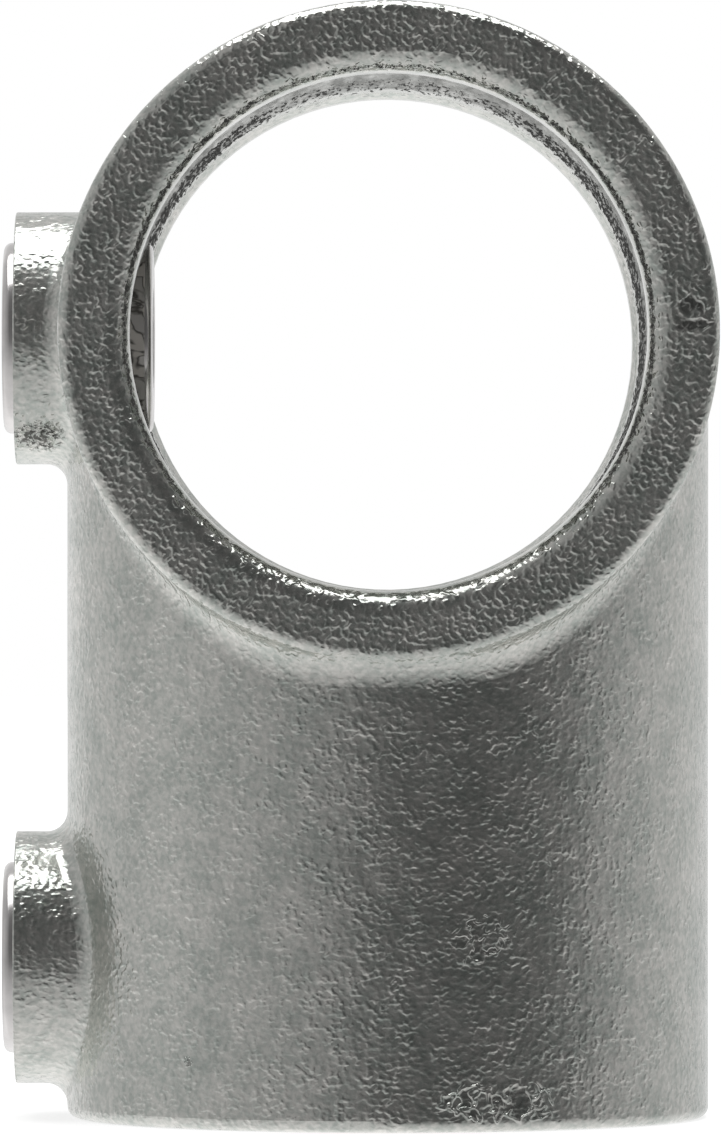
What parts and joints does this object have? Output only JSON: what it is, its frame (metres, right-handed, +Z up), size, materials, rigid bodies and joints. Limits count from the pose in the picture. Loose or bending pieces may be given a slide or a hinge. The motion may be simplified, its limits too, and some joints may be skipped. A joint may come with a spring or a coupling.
{
  "type": "tube clamp tee fitting",
  "caption": "Cast tee fitting whose round collar clamps a through tube and whose socket below holds the end of another, by set screws in side bosses.",
  "frame": {"origin": "where the axis of the collar's bore crosses the axis of the socket's bore, at the middle of the collar's length", "axes": "+Z up along the socket's axis, away from its open end; Y along the collar's bore; both set screws on the -X side"},
  "size_m": [0.0614, 0.0584, 0.0959],
  "materials": {
    "galvanised_casting": "hot-dip galvanised over an as-cast dimpled surface",
    "screw_steel": "smooth bright steel"
  },
  "bodies": {
    "casting": {"tee_body": "galvanised_casting"},
    "collar_screw": {"collar_set_screw": "screw_steel"},
    "socket_screw": {"socket_set_screw": "screw_steel"}
  },
  "joints": [
    {"name": "collar_screw_travel", "type": "slide", "parent": "casting", "child": "collar_screw", "axis": [1, 0, 0], "range_m": [-0.006, 0.003]},
    {"name": "socket_screw_travel", "type": "slide", "parent": "casting", "child": "socket_screw", "axis": [1, 0, 0], "range_m": [-0.006, 0.003]}
  ]
}
